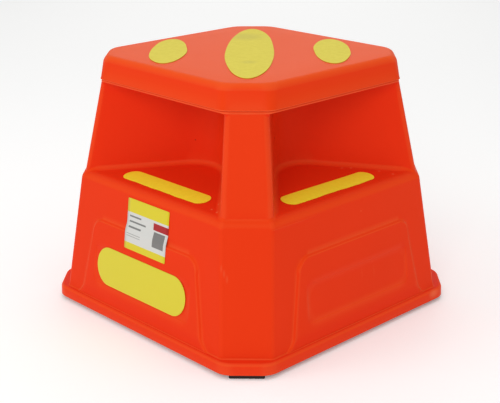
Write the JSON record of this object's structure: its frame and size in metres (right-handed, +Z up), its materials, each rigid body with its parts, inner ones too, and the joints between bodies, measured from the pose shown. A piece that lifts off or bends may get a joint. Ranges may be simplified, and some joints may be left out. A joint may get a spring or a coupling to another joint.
{
  "type": "safety step",
  "caption": "Free-standing moulded plastic safety step with a tread on each side around an X-shaped column, a square platform with grip ovals, and rubber feet.",
  "frame": {"origin": "middle of the base, on the floor", "axes": "+Z up; -Y out of the side that carries the label and the oval sticker; +X out of the side to its right"},
  "size_m": [0.522, 0.522, 0.4311],
  "materials": {
    "body": "satin moulded polyethylene",
    "grip_tape": "mineral grit tape",
    "label": "printed film, satin",
    "sticker": "printed film, satin",
    "feet": "matt rubber"
  },
  "bodies": {
    "root": {"moulded_body": "body", "platform_grip_centre": "grip_tape", "platform_grip_left": "grip_tape", "platform_grip_right": "grip_tape", "tread_grip_front": "grip_tape", "tread_grip_right": "grip_tape", "tread_grip_back": "grip_tape", "tread_grip_left": "grip_tape", "product_label": "label", "side_oval": "sticker", "rubber_foot_front": "feet", "rubber_foot_right": "feet", "rubber_foot_back": "feet", "rubber_foot_left": "feet"}
  },
  "joints": []
}
